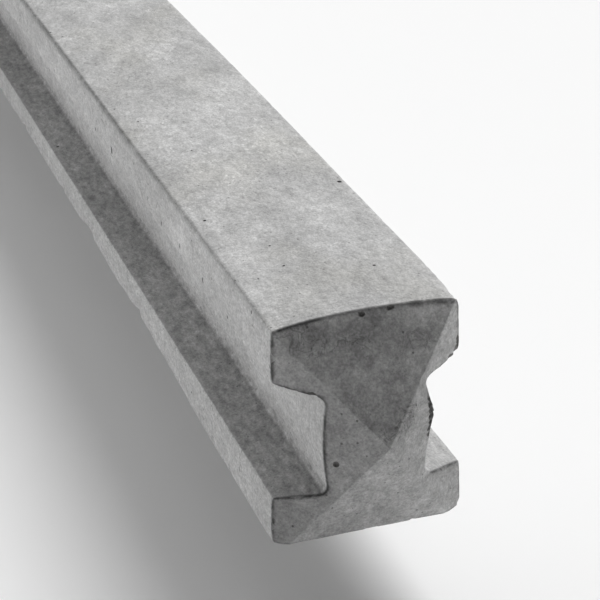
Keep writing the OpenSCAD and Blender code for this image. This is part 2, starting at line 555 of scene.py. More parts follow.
def worn_body():
    """The cast body as a closed mesh with worn arrises and an uneven surface."""
    points, faces = body_shell()
    mesh = bpy.data.meshes.new("post_body")
    mesh.from_pydata(points * MM, [], faces)
    work = bmesh.new()
    work.from_mesh(mesh)
    bmesh.ops.remove_doubles(work, verts=work.verts, dist=2e-6)
    bmesh.ops.recalc_face_normals(work, faces=work.faces)
    bmesh.ops.triangulate(work, faces=[f for f in work.faces if len(f.verts) > 4])
    work.normal_update()
    work.verts.ensure_lookup_table()
    place = np.array([v.co[:] for v in work.verts]) / MM
    normal = np.array([v.normal[:] for v in work.verts])
    depth = surface_relief(place) + arris_wear(place)
    moves = crumble(place) + right_side(place) - normal * depth[:, None]
    ragged = layered_noise(place, (5, 40, 5), SEED + 70) * 0.5 + 0.5
    moves[:, 1] += RIM_RAGGED * ragged ** 2 * bell(rim_distance(place), 0, 1.2)
    moves[near_cage(*place.T)] = 0
    moved = (place + moves) * MM
    for vert, co in zip(work.verts, moved):
        vert.co = co
    work.to_mesh(mesh)
    work.free()
    return new_object("post_body", mesh)


# ---------------- blow holes and chips

def ball(centre, radii, roughness, detail=2):
    """One lumpy ball for cut(), in millimetres. It moves with the right side."""
    place = np.array([centre], float)
    return (place + right_side(place))[0], np.array(radii, float), roughness, detail


def add_ball(work, centre, radii, roughness, detail, rng):
    """Adds one lumpy ball to a bmesh."""
    made = bmesh.ops.create_icosphere(work, subdivisions=detail, radius=1.0)
    turn = Matrix.Rotation(rng.uniform(0, math.tau), 3, Vector(rng.normal(size=3)).normalized())
    for vert in made["verts"]:
        out = turn @ vert.co
        swell = 1 + roughness * rng.uniform(-1, 1)
        vert.co = Vector([(c + o * r * swell) * MM for c, o, r in zip(centre, out, radii)])


def apart(a, b):
    """Whether two balls stay clear of each other, lumps included."""
    return bool((np.abs(a[0] - b[0]) > 1.3 * (a[1] + b[1])).any())


def cut(body, name, balls, material):
    """Cuts the balls out of the body, in turns whose balls don't overlap."""
    turns = []
    for one in balls:
        free = [turn for turn in turns if all(apart(one, other) for other in turn)]
        if free:
            free[0].append(one)
        else:
            turns.append([one])
    for turn in turns:
        cut_once(body, name, turn, material)


def cut_once(body, name, balls, material):
    """Cuts balls that don't overlap out of the body. The new faces get the material."""
    rng = np.random.default_rng(SEED + len(balls))
    work = bmesh.new()
    for one in balls:
        add_ball(work, *one, rng)
    mesh = bpy.data.meshes.new(name)
    work.to_mesh(mesh)
    work.free()
    mesh.materials.append(material)
    cutter = new_object(name, mesh)
    modifier = body.modifiers.new(name, "BOOLEAN")
    modifier.operation = "DIFFERENCE"
    modifier.solver = "MANIFOLD"
    modifier.material_mode = "TRANSFER"
    modifier.object = cutter
    bpy.context.view_layer.update()
    result = body.evaluated_get(bpy.context.evaluated_depsgraph_get())
    changed = bpy.data.meshes.new_from_object(result)
    body.modifiers.remove(modifier)
    before = body.data
    body.data = changed
    bpy.data.meshes.remove(before)
    bpy.data.objects.remove(cutter)
    bpy.data.meshes.remove(mesh)


def drop_doubled_faces(mesh):
    """Deletes pairs of faces that lie back to back, which the cuts can leave."""
    work = bmesh.new()
    work.from_mesh(mesh)
    bmesh.ops.remove_doubles(work, verts=work.verts, dist=1e-6)
    work.verts.index_update()
    found = {}
    for face in work.faces:
        found.setdefault(frozenset(vert.index for vert in face.verts), []).append(face)
    doubled = [face for group in found.values() if len(group) > 1 for face in group]
    bmesh.ops.delete(work, geom=doubled, context="FACES")
    work.to_mesh(mesh)
    work.free()


def crown_z(x):
    """Height of the crowned upper face at a distance from its middle."""
    return EDGE_HEIGHT + arc_height(UPPER_WIDTH, CROWN_RISE, x)


def end_y(x, z):
    """Place along Y of the cap's surface at a point of the section."""
    return TIP_Y + float(cap_height(x, z))


# A blow hole in the lower wall of the left slot: x, distance behind the cap's base, z, radius.
LEDGE_HOLE = (-41.0, 474, 24.6, 1.1)
# Blow holes that stand out: (x, distance behind the cap's base, radius) on the upper face.
TOP_HOLES = [
    (-42.0, 464, 0.9), (-37.0, 450, 0.8), (-32.0, 276, 0.7), (-36.5, 127, 0.9), (-17.5, 83, 0.6),
    (-18.5, 59, 0.7), (-33.0, 52, 0.5), (40.0, 149, 1.3), (20.0, 44, 0.8),
]
# Blow holes in the cap: (x, z, radius).
CAP_HOLES = [
    (-20.7, 44.3, 1.6), (-12.4, 67.0, 0.6), (4.7, 62.3, 0.6),
    (-21.8, 21.1, 0.6), (-38.0, 10.5, 0.7), (18.0, 89.3, 0.6), (-37.5, 92.0, 0.4),
    (39.9, 12.3, 0.5), (1.3, 31.9, 0.5), (14.5, 63.0, 0.6), (13.0, 66.5, 0.5),
    (16.5, 67.5, 0.5), (-9.0, 50.0, 0.5),
]
# The long faces that get scattered blow holes, and the share of them on each.
LONG_FACES = {"top": 0.16, "side": 0.24, "wall": 0.16, "web": 0.18, "low": 0.14, "under": 0.12}
# How deep the middle of a scattered blow hole lies.
HOLE_DEPTH = 0.3


def random_place(rng, behind):
    """A random point of one of the long faces, at a distance behind the cap's base."""
    face = rng.choice(list(LONG_FACES), p=list(LONG_FACES.values()))
    sign = rng.choice([-1, 1])
    y = CAP_BASE_Y + behind
    if face == "top":
        x = rng.uniform(-40, 40)
        return x, y, crown_z(x) - HOLE_DEPTH
    if face == "side":
        z = rng.uniform(UPPER_MOUTH_Z + 4, EDGE_HEIGHT - 4)
        return sign * (half_width(z) - HOLE_DEPTH), y, z
    if face == "low":
        z = rng.uniform(4, LOWER_FLANGE - 4)
        return sign * (half_width(z) - HOLE_DEPTH), y, z
    if face == "wall":
        share = rng.uniform(0.2, 0.8)
        x = WEB_WIDTH / 2 + share * (LOWER_WIDTH - WEB_WIDTH) / 2
        return sign * x, y, LOWER_ROOT_Z - share * LOWER_WALL_RISE - HOLE_DEPTH
    if face == "web":
        z = rng.uniform(LOWER_ROOT_Z + 6, UPPER_ROOT_Z - 6)
        return sign * (WEB_WIDTH / 2 + WEB_BOW * 0.6), y, z
    return rng.uniform(-40, 40), y, HOLE_DEPTH


# Notches just under the upper rim of the cap: (x, z, half width, half height).
NOTCHES = [(-2.3, 107.1, 1.7, 1.5), (10.7, 107.6, 2.2, 1.3)]

# Dents in the left side of the upper flange: (distance behind the cap's base, z, radius, height).
SIDE_DENTS = [
    (293, 86, 1.0, 2.6), (184, 84, 0.7, 1.8), (107, 84.5, 0.7, 2.0), (28, 103, 0.5, 1.1),
    (27, 97, 0.4, 0.7), (56, 101.5, 0.4, 0.9), (148, 86, 0.6, 1.4), (66, 83.5, 0.7, 1.0),
    (334, 85, 0.8, 1.6), (211, 88, 0.5, 1.3), (240, 97, 0.5, 1.0), (92, 92, 0.4, 1.2),
]

RANDOM_HOLES = 90
RANDOM_CAP_HOLES = 26


def bubbles():
    """Blow holes of trapped air: those that stand out, then a scatter over the long faces."""
    rng = np.random.default_rng(SEED + 1)
    x, behind, z, radius = LEDGE_HOLE
    found = [ball((x, CAP_BASE_Y + behind, z), (radius,) * 3, 0.06)]
    for x, behind, radius in TOP_HOLES:
        found.append(ball((x, CAP_BASE_Y + behind, crown_z(x) - radius * 0.5), (radius,) * 3, 0.05))
    for x, z, radius in CAP_HOLES:
        found.append(ball((x, end_y(x, z) - radius * 0.1, z), (radius,) * 3, 0.06))
    for x, z, wide, high in NOTCHES:
        found.append(ball((x, end_y(x, z), z), (wide, 1.6, high), 0.22))
    for behind, z, radius, high in SIDE_DENTS:
        place = (-half_width(z) + radius * 0.1, CAP_BASE_Y + behind, z)
        found.append(ball(place, (radius, radius * 1.4, high), 0.2))
    for _ in range(RANDOM_CAP_HOLES):
        x, z = rng.uniform(-20, 24), rng.uniform(8, 60)
        radius = rng.uniform(0.25, 0.5)
        found.append(ball((x, end_y(x, z), z), (radius,) * 3, 0.1, detail=1))
    for _ in range(RANDOM_HOLES):
        behind = 25 + (FOOT_Y - CAP_BASE_Y - 50) * rng.random()
        radius = rng.uniform(0.35, 0.8) * (1.0 if behind < 600 else 1.4)
        found.append(ball(random_place(rng, behind), (radius,) * 3, 0.08, detail=1))
    return found


# Chips out of the rim of the cap, as (x, z, radius, reach along the post).
RIM_CHIPS = [
    (47.4, 78.7, 4.2, 14), (44.8, 80.6, 4.9, 2.6), (45.2, 86.5, 3.4, 2.0), (45.4, 92.5, 2.4, 1.6),
    (45.6, 98.0, 1.8, 1.4), (46.6, 84.4, 2.4, 9), (46.4, 89.4, 1.9, 6), (40.0, 78.6, 3.6, 2.2),
    (34.5, 76.8, 2.8, 1.8), (29.5, 76.0, 2.2, 1.4), (38.4, 77.0, 1.8, 5), (46.6, 26.5, 2.2, 4),
    (46.9, 14.0, 1.2, 2), (47.0, 1.0, 3.0, 6), (42.0, -0.9, 1.5, 4), (31.0, -0.8, 1.3, 4),
    (19.9, -0.8, 2.0, 6), (-46.8, -0.9, 1.6, 4), (-20.5, 108.8, 0.9, 1), (31.0, 30.4, 1.4, 2),
]
# The rough bevel down the rim of the right side of the web, as (z, width).
WEB_BEVEL = [
    (73, 1.0), (70, 1.5), (67, 2.4), (64, 3.2), (61, 3.7), (58, 3.8), (55, 3.5),
    (52, 3.0), (49, 2.4), (46, 1.8), (43, 1.4), (40, 1.2), (37, 1.1), (34, 1.0),
]
# Slivers gone from the rim of the left slot's upper wall, as (x, half length, half height, depth).
WALL_SLIVERS = [(-29.6, 5.8, 2.3, 1.2), (-36.4, 2.6, 1.0, 0.8), (-41.0, 2.2, 0.9, 0.8)]
# Scattered chips along each upper arris, and along each of the others.
UPPER_CHIPS, OTHER_CHIPS = 7, 22


def upper_wall_z(x):
    """Height of the slot's upper wall at a distance from the middle."""
    share = (abs(x) - WEB_WIDTH / 2) / (half_width(UPPER_MOUTH_Z) - WEB_WIDTH / 2)
    return UPPER_ROOT_Z + share * UPPER_WALL_DROP


def chips():
    """Broken bits along the long arrises and round the rim of the cap."""
    rng = np.random.default_rng(SEED + 2)
    length = FOOT_Y - CAP_BASE_Y
    found = []
    for x, z in ARRISES:
        if x < 0 and z == 0:
            continue
        for _ in range(UPPER_CHIPS if z == EDGE_HEIGHT else OTHER_CHIPS):
            y = CAP_BASE_Y + 45 + (length - 60) * rng.random() ** 1.2
            size = rng.uniform(0.7, 1.5) if z == EDGE_HEIGHT else rng.uniform(1.0, 2.6)
            out = 0.6 * size
            up = out if z in (EDGE_HEIGHT, LOWER_FLANGE) else -out
            centre = (x + math.copysign(out, x), y, z + up)
            found.append(ball(centre, (size, size * rng.uniform(1.0, 2.6), size), 0.16))
    for x, z, size, reach in RIM_CHIPS:
        y = end_y(min(abs(x), half_width(z)) * math.copysign(1, x), z)
        found.append(ball((x, y - size * 0.35, z), (size, reach, size), 0.16, detail=3))
    for z, width in WEB_BEVEL:
        edge = WEB_WIDTH / 2 + WEB_BOW * 0.8
        x = edge - width * rng.uniform(0.0, 0.15)
        y = end_y(edge + web_bulge(z) - width, z) - 0.5 * width
        found.append(ball((x, y, z), (width, width * 1.25, 2.6), 0.12))
    for x, half_length, high, deep in WALL_SLIVERS:
        z = upper_wall_z(x)
        found.append(ball((x, end_y(x, z), z), (half_length, deep, high), 0.1, detail=3))
    return found


# ---------------- stains

# Pale and dark patches: (x, distance behind the cap's base, z, their three radii, amount).
PATCHES = [
    (33, 205, 107, 14, 34, 6, 1.0), (12, 268, 109, 13, 30, 6, 0.6), (-33, 75, 107, 10, 60, 6, 0.6),
    (16, 112, 109, 7, 15, 6, 0.6), (29, 44, 108, 3, 6, 6, 0.7), (-25, 230, 108, 10, 40, 6, 0.4),
    (-30, 335, 108, 12, 50, 6, 0.5), (8, 500, 109, 12, 9, 6, 0.8), (30, 305, 108, 12, 30, 6, 0.4),
    (-12, 420, 109, 4, 9, 6, -1.0), (27, 394, 108, 7, 9, 6, -0.7), (28, 344, 108, 7, 7, 6, -0.7),
    (10, 340, 109, 6, 5, 6, -0.6), (-18, 130, 109, 8, 10, 6, -0.5), (-5, 215, 109, 12, 35, 6, -0.35),
    (-27, 385, 108, 6, 10, 6, -0.5), (-34, 8, 107, 9, 9, 6, -0.5), (10, 60, 109, 26, 7, 6, -0.3),
    (-25, 376, 38, 4, 8, 4, -1.0), (-25, 182, 37, 4, 6, 5, -0.8), (-25, 286, 37, 4, 5, 4, -0.6),
    (-45, 230, 93, 4, 3, 6, -0.5), (-45, 150, 92, 4, 16, 8, 0.5), (-45, 60, 96, 4, 14, 6, 0.4),
    (-27, -8, 99, 12, 25, 6, -1.0), (-6, -8, 97, 9, 25, 5, -0.7), (5, -20, 61, 9, 25, 8, -0.9),
    (20, -10, 93, 11, 25, 9, -0.5), (13, -14, 66, 5, 25, 5, -0.8), (-8, -20, 79, 8, 25, 6, 0.5),
    (-37, -3, 104, 6, 25, 3, -1.0), (27, 2, 28, 4, 5, 3, -1.0),
]


def stains(points):
    """How pale (above 0) or dark (below 0) each point is through the patches."""
    total = np.zeros(len(points))
    for x, behind, z, *radii, amount in PATCHES:
        away = (points - (x, CAP_BASE_Y + behind, z)) / radii
        total += amount * np.exp(-(away ** 2).sum(1))
    return np.clip(total, -1, 1)


def grime_and_shade(points):
    """How dark each point is made: round the cap's rim, partly dirt and partly painted shade; along
    the upper left arris; and as painted shade in the first sliver of the slot's upper wall.
    """
    x, z = points[:, 0], points[:, 2]
    behind = points[:, 1] - CAP_BASE_Y
    # A dark line round the cap's rim: partly dirt, partly painted shade at the rounded rim.
    near_rim = bell(np.maximum(0, rim_distance(points) - 0.75), 0, 0.6)
    left = smooth_step(-x, 14, 22) * (0.35 + 0.65 * smooth_step(z, 3, 8))
    right = 0.6 + 0.25 * smooth_step(z, 78, 84) + 0.3 * bell(z, 26, 4)
    right = smooth_step(x, 16, 22) * right
    above = smooth_step(z, 100, 104) * 0.7
    rim = near_rim * np.maximum.reduce([left, right, above, np.full(len(x), 0.12)])
    far = smooth_step(behind, 20, 330)
    below = np.clip(EDGE_HEIGHT - z, 0, None) / (1.2 + 1.8 * far)
    arris = bell(below, 0, 1) * (0.35 + 0.3 * far) * (x < -42.5) * (behind > -3)
    above_wall = z - upper_wall_z(x)
    # Painted shade in the broken sliver at the rim of the slot's upper wall.
    sliver = 0.95 * bell(x, WALL_SLIVERS[0][0], 4.6) * bell(above_wall, 0.9, 1.1) * (behind < 3)
    return np.clip(rim + arris * smooth_step(z, 98, 102) + sliver, 0, 1)


def mark(mesh, name, values):
    """Gives each point of the mesh a value that the materials read."""
    layer = mesh.attributes.new(name, "FLOAT", "POINT")
    layer.data.foreach_set("value", np.asarray(values, np.float32))


def mark_stains(mesh):
    place = np.zeros(len(mesh.vertices) * 3, np.float32)
    mesh.vertices.foreach_get("co", place)
    place = place.reshape(-1, 3).astype(float) / MM
    mark(mesh, "stain", stains(place))
    mark(mesh, "grime_and_shade", grime_and_shade(place))


# ---------------- materials

class Nodes:
    """A small builder for the nodes of a material or of the world."""

    def __init__(self, owner):
        owner.use_nodes = True
        self.owner = owner
        self.tree = owner.node_tree
        coords = self.new("TexCoord", {})
        self.place = coords.outputs["Object"]
        self.normal = coords.outputs["Normal"]
        self.direction = coords.outputs["Generated"]

    def new(self, kind, inputs, **settings):
        """A new node with its settings and its inputs."""
        node = self.tree.nodes.new("ShaderNode" + kind)
        for name, value in settings.items():
            setattr(node, name, value)
        for name, value in inputs.items():
            self.link(value, node.inputs[name])
        return node

    def link(self, value, socket):
        """Sets a socket to a number, vector or colour, or joins another node's output to it."""
        if isinstance(value, (int, float, Vector)):
            socket.default_value = value
        elif isinstance(value, tuple):
            socket.default_value = (*value, 1.0)
        else:
            self.tree.links.new(value, socket)

    def surface(self, inputs):
        """Sets the named inputs of the material's shader, and returns the material."""
        for name, value in inputs.items():
            self.link(value, self.tree.nodes["Principled BSDF"].inputs[name])
        return self.owner

    def math(self, operation, a, b=0.0):
        return self.new("Math", {0: a, 1: b}, operation=operation).outputs[0]

    def plus(self, a, b):
        return self.math("ADD", a, b)

    def less(self, a, b):
        return self.math("SUBTRACT", a, b)

    def product(self, *values):
        result = values[0]
        for value in values[1:]:
            result = self.math("MULTIPLY", result, value)
        return result

    def vector(self, operation, value, fixed, output):
        """A vector from another node, combined with a fixed one."""
        inputs = {0: value, 1: Vector(fixed)}
        return self.new("VectorMath", inputs, operation=operation).outputs[output]

    def axis(self, vector, name):
        return self.new("SeparateXYZ", {0: vector}).outputs[name]

    def noise(self, factors, detail=4.0, roughness=0.55, distortion=0.0):
        """Noise whose features repeat that many times a metre along X, Y and Z."""
        place = self.vector("MULTIPLY", self.place, factors, "Vector")
        inputs = {"Vector": place, "Scale": 1.0, "Detail": detail, "Roughness": roughness}
        return self.new("TexNoise", {**inputs, "Distortion": distortion}).outputs["Fac"]

    def attribute(self, name):
        """A value that the mesh carries at each point."""
        return self.new("Attribute", {}, attribute_name=name).outputs["Fac"]

    def cells(self, scale):
        node = self.new("TexVoronoi", {"Vector": self.place, "Scale": scale})
        return node.outputs["Distance"], node.outputs["Color"]

    def span(self, value, low, high, to_low=0.0, to_high=1.0, shape="SMOOTHSTEP"):
        """Value mapped from low..high to to_low..to_high, held at both ends."""
        inputs = {"From Min": low, "From Max": high, "To Min": to_low, "To Max": to_high}
        node = self.new("MapRange", {"Value": value, **inputs}, interpolation_type=shape)
        return node.outputs["Result"]

    def ramp(self, *limits):
        """The same as span, with straight lines between the limits."""
        return self.span(*limits, shape="LINEAR")

    def mix(self, kind, share, a, b, first):
        """Mixes a and b. They go into the inputs from first on."""
        return self.new("Mix", {0: share, first: a, first + 1: b}, data_type=kind)

    def blend(self, share, a, b):
        """a where share is 0, and b where it is 1, for single values."""
        return self.mix("FLOAT", share, a, b, 2).outputs[0]

    def toned(self, tone, share, factor):
        """The tone where share is 0, and the tone times the factor where it is 1."""
        return self.product(tone, self.blend(share, 1.0, factor))

    def tint(self, share, a, b):
        """Colour a where share is 0, and colour b where it is 1."""
        return self.mix("RGBA", share, a, b, 6).outputs[2]

    def shade(self, colour, amount):
        """A colour times a single value."""
        node = self.mix("RGBA", 1.0, colour, amount, 6)
        node.blend_type = "MULTIPLY"
        return node.outputs[2]

    def bump(self, height, strength, distance, **under):
        """Relief of that height, over another one's normal if Normal is given."""
        inputs = {"Strength": strength, "Distance": distance, "Height": height}
        return self.new("Bump", {**inputs, **under}).outputs["Normal"]


# Tones of the long faces and the foot face, as shares of the concrete's colour. The lifts of the
# left web and flanges and of the crumbled arris are painted light. The right side gets a smaller
# lift. The underside is darker, so that it throws less light into the floor's shadow.
WEB_LIGHT_TONE = 1.56
UPPER_FLANGE_LIGHT_TONES = (1.38, 1.52)  # beside the cap, then further back
LOWER_FLANGE_LIGHT_TONES = (1.36, 1.56)
LOWER_FLANGE_FAR_LIGHT = 0.95
CRUMBLED_LIGHT_TONE = 1.25
UNDERSIDE_TONE = 0.75
RIGHT_SIDE_TONE = 1.12
FOOT_FACE_TONE = 0.72
# Tones of the dirt in the left slot, and of its border at the web.
SLOT_DIRT_TONES = (0.70, 1.16)
WEB_ROOT_TONE = 0.88
# Tones of the cap: its upper and left facets, darker as painted shade; from its middle to its right,
# lighter as painted light; and its dark lines.
UPPER_FACET_SHADE_TONE = 0.86
LEFT_FACET_SHADE_TONE = 0.94
CAP_RIGHT_LIGHT_TONES = (0.95, 1.24)
CAP_LINE_TONE = 0.62
# How much the patches change the tone of the long faces, and of the cap.
LONG_PATCHES, CAP_PATCHES = 0.15, 0.20
# Changes of tone: pale flecks on top and on the sides, then dark ones on top and on the sides.
FLECK_CHANGES = (0.19, 0.13, -0.20, -0.40)
# How much the rims darken, through dirt and painted shade.
RIM_DIRT_AND_SHADE = 0.85
PIT_TONE = 0.55
CONCRETE_COLOUR = (0.452, 0.451, 0.449)
WARM_CONCRETE_COLOUR = (0.458, 0.454, 0.440)
# The inside of chips and blow holes, darker as painted shade.
BROKEN_SHADE_COLOUR = (0.27, 0.267, 0.26)
FLOOR_COLOUR = (0.90, 0.90, 0.90)


def concrete_relief(n, pits):
    """The fine relief of the cast surface."""
    fine = n.noise((1500, 1500, 1500), 3, 0.7)
    ripple = n.noise((330, 260, 330), 5, 0.7)
    relief = n.bump(ripple, 0.55, 0.0014)
    relief = n.bump(fine, 0.4, 0.0005, Normal=relief)
    return n.bump(n.less(1.0, pits), 0.6, 0.0006, Normal=relief)


def cast_tone(n, on_side):
    """Clouds, mottling and speckle over everything."""
    clouds = n.ramp(n.noise((16, 10, 16), 6, 0.62), 0.32, 0.68, 0.88, 1.12)
    blotches = n.ramp(n.noise((95, 50, 95), 5, 0.66, 0.2), 0.34, 0.66, 0.86, 1.14)
    mottle = n.ramp(n.noise((420, 210, 420), 4, 0.7), 0.34, 0.66, 0.85, 1.15)
    speckle = n.ramp(n.noise((900, 800, 900), 3, 0.75), 0.34, 0.66, 0.80, 1.20)
    blotches = n.blend(n.product(on_side, 0.5), blotches, 1.0)
    return n.product(clouds, blotches, mottle, speckle)


def patch_tone(n, stain, facing_end):
    """Pale and dark patches, broken up at their edges."""
    broken = n.ramp(n.noise((120, 90, 120), 6, 0.7), 0.3, 0.7, 0.35, 1.65)
    depth = n.blend(facing_end, LONG_PATCHES, CAP_PATCHES)
    return n.plus(1.0, n.product(stain, broken, depth))


def fleck_tone(n, behind, on_top, on_side):
    """Flecks: fine pale and dark ones across the top, and upright ones down the sides."""
    far_flecks = n.noise((340, 170, 340), 5, 0.72, 0.2)
    near_flecks = n.noise((200, 520, 200), 5, 0.72, 0.3)
    across = n.blend(n.span(behind, 0.150, 0.030), far_flecks, near_flecks)
    upright = n.noise((260, 150, 230), 6, 0.76, 0.3)
    some = n.span(n.noise((14, 10, 14), 3), 0.42, 0.58)
    others = n.span(n.noise((18, 13, 18), 3), 0.44, 0.60)
    some_sides = n.span(n.noise((30, 26, 30), 3), 0.40, 0.58)
    flecks = [
        n.product(on_top, n.span(across, 0.53, 0.63), some),
        n.product(on_side, n.span(upright, 0.53, 0.64)),
        n.product(on_top, n.span(across, 0.46, 0.37), others),
        n.product(on_side, n.span(upright, 0.40, 0.35), some_sides),
    ]
    tone = 1.0
    for share, change in zip(flecks, FLECK_CHANGES):
        tone = n.plus(tone, n.product(share, change))
    return tone


def side_tone(n, x, z, behind, facing_z):
    """Tone of the long faces other than the top, and of the foot face, with painted light on the
    left ones.
    """
    # Painted light: the web and the flanges are lifted, by different amounts beside the cap and
    # further back.
    lower = n.product(
        n.span(behind, 0.005, 0.070, *LOWER_FLANGE_LIGHT_TONES),
        n.span(behind, 0.120, 0.350, 1.0, LOWER_FLANGE_FAR_LIGHT),
    )
    upper = n.span(behind, 0.020, 0.160, *UPPER_FLANGE_LIGHT_TONES)
    tone = n.blend(n.span(n.math("ABSOLUTE", x), 0.028, 0.034), WEB_LIGHT_TONE, upper)
    tone = n.blend(n.span(z, 0.022, 0.030), lower, tone)
    # Painted light: the crumbled arris faces down and to the left, away from the lamps, and is made
    # lighter.
    crumbled = n.product(
        n.span(z, 0.016, 0.006), n.span(x, -0.030, -0.034), n.span(facing_z, -0.15, -0.6)
    )
    tone = n.toned(tone, crumbled, CRUMBLED_LIGHT_TONE)
    underside = n.product(n.span(facing_z, -0.75, -0.95), n.span(z, 0.004, 0.002))
    tone = n.blend(underside, tone, UNDERSIDE_TONE)
    tone = n.blend(n.span(x, 0.012, 0.020), tone, RIGHT_SIDE_TONE)
    return n.blend(n.span(n.axis(n.normal, "Y"), 0.6, 0.8), tone, FOOT_FACE_TONE)


def slot_tone(n, x, z, on_long):
    """Dirt on the lower wall of the left slot, with a ragged edge at the web and at the arris, and
    darker along the web's root.
    """
    wander = n.product(n.less(n.noise((90, 60, 90), 4, 0.6), 0.5), 0.012)
    near_arris = n.plus(x, wander)
    near_web = n.plus(x, n.product(wander, 1.4))
    low = n.plus(z, n.product(wander, 0.8))
    dirt = n.product(
        n.span(near_arris, -0.0460, -0.0420), n.span(low, 0.0330, 0.0300),
        n.span(z, 0.0215, 0.0240), n.span(x, -0.018, -0.021), on_long,
    )
    mottle = n.ramp(n.noise((330, 120, 330), 5, 0.72), 0.36, 0.64, *SLOT_DIRT_TONES)
    web_root = n.span(near_web, -0.0300, -0.0262, 1.0, WEB_ROOT_TONE)
    return n.blend(dirt, 1.0, n.product(mottle, web_root))


def facets(n, x, z, facing_end):
    """Where the cap's upper facet is, and where its left facet is."""
    wobble = n.product(n.less(n.noise((140, 140, 140), 3), 0.5), 0.8)
    draft = (UPPER_WIDTH - LOWER_WIDTH) / EDGE_HEIGHT
    width = n.plus(n.product(z, draft), LOWER_WIDTH * MM)
    share = n.math("DIVIDE", n.product(x, 2.0), width)
    left_depth = n.product(share, -CAP_RISE)
    right_depth = n.product(share, RIGHT_CAP_RISE)
    side_depth = n.math("MAXIMUM", left_depth, right_depth)
    above_tip = n.less(n.math("DIVIDE", z, MM), TIP_HEIGHT)
    top_depth = n.product(above_tip, CAP_RISE / (EDGE_HEIGHT - TIP_HEIGHT))
    low_depth = n.product(above_tip, -LOWER_REACH / TIP_HEIGHT)
    over = n.plus(n.less(top_depth, side_depth), wobble)
    side_over = n.less(side_depth, n.math("MAXIMUM", low_depth, top_depth))
    upper = n.product(facing_end, n.span(over, -0.5, 0.6))
    left = n.product(facing_end, n.span(side_over, -0.3, 0.3), n.span(x, 0.0, -0.0005))
    return upper, left


def cap_tone(n, x, z, facing_end, stain):
    """Tone of the cap: mottled, with painted shade on the upper facet and less on the left one,
    painted light towards the right, and dark lines.
    """
    upper, left = facets(n, x, z, facing_end)
    mottle = n.ramp(n.noise((150, 150, 150), 6, 0.74, 0.4), 0.36, 0.64, 0.76, 1.24)
    clouds = n.ramp(n.noise((55, 55, 55), 4, 0.65), 0.36, 0.64, 0.89, 1.11)
    mottle = n.product(mottle, clouds)
    ridge = n.math("ABSOLUTE", n.less(n.noise((115, 115, 115), 5, 0.6, 1.2), 0.5))
    lines = n.product(n.span(ridge, 0.030, 0.004), n.span(stain, -0.15, -0.6), facing_end)
    tone = n.blend(facing_end, 1.0, n.blend(upper, n.blend(0.45, 1.0, mottle), mottle))
    # Painted shade on the upper and left facets, and painted light towards the right.
    tone = n.toned(tone, upper, UPPER_FACET_SHADE_TONE)
    tone = n.toned(tone, left, LEFT_FACET_SHADE_TONE)
    tone = n.toned(tone, facing_end, n.span(x, 0.0, 0.045, *CAP_RIGHT_LIGHT_TONES))
    return n.toned(tone, lines, CAP_LINE_TONE)


def concrete_material():
    """Matt cast concrete: cloudy and flecked, with painted light on the sides, painted light and
    shade on the cap, dirt and painted shade round the cap's rim, and dirt in the left slot.
    """
    n = Nodes(bpy.data.materials.new("cast_concrete"))
    x, z = n.axis(n.place, "X"), n.axis(n.place, "Z")
    behind = n.less(n.axis(n.place, "Y"), CAP_BASE_Y * MM)
    facing_z = n.axis(n.normal, "Z")
    facing_up = n.span(facing_z, 0.55, 0.85)
    facing_end = n.span(n.axis(n.normal, "Y"), -0.35, -0.65)
    on_long = n.less(1.0, facing_end)
    on_top = n.product(facing_up, n.span(z, 0.096, 0.100))
    on_side = n.product(on_long, n.less(1.0, facing_up))
    stain = n.attribute("stain")
    tone = n.product(
        cast_tone(n, on_side),
        patch_tone(n, stain, facing_end),
        fleck_tone(n, behind, on_top, on_side),
        n.blend(on_side, 1.0, side_tone(n, x, z, behind, facing_z)),
        slot_tone(n, x, z, on_long),
        cap_tone(n, x, z, facing_end, stain),
    )

    # Dirt and painted shade in the rims, and scattered pits.
    patchy = n.span(n.noise((150, 150, 150), 4, 0.6), 0.35, 0.55, 0.6, 1.0)
    rims = n.product(n.attribute("grime_and_shade"), patchy, RIM_DIRT_AND_SHADE)
    distance, colour = n.cells(330.0)
    pits = n.product(n.span(distance, 0.22, 0.12), n.span(n.axis(colour, "X"), 0.89, 0.90))
    tone = n.toned(n.product(tone, n.less(1.0, rims)), pits, PIT_TONE)

    warmth = n.product(n.span(n.noise((17, 14, 17), 4), 0.45, 0.72), on_top)
    colour = n.tint(warmth, CONCRETE_COLOUR, WARM_CONCRETE_COLOUR)
    roughness = n.span(n.noise((240, 240, 240), 3), 0.3, 0.7, 0.82, 0.96)
    return n.surface({
        "Base Color": n.shade(colour, tone), "Roughness": roughness,
        "Specular IOR Level": 0.25, "Normal": concrete_relief(n, pits),
    })


def shaded_broken_material():
    """The rough inside of chips and blow holes, darker than the cast faces as painted shade, and
    darker still where the rims carry dirt and painted shade.
    """
    n = Nodes(bpy.data.materials.new("shaded_broken_concrete"))
    grit = n.ramp(n.noise((700, 700, 700), 4, 0.7), 0.3, 0.7, 0.55, 1.15)
    dirt_and_shade = n.span(n.attribute("grime_and_shade"), 0.0, 0.6, 1.0, 0.55)
    return n.surface({
        "Base Color": n.shade(BROKEN_SHADE_COLOUR, n.product(grit, dirt_and_shade)), "Roughness": 0.95,
        "Specular IOR Level": 0.15, "Normal": n.bump(n.noise((900, 900, 900), 4, 0.7), 0.6, 0.0008),
    })


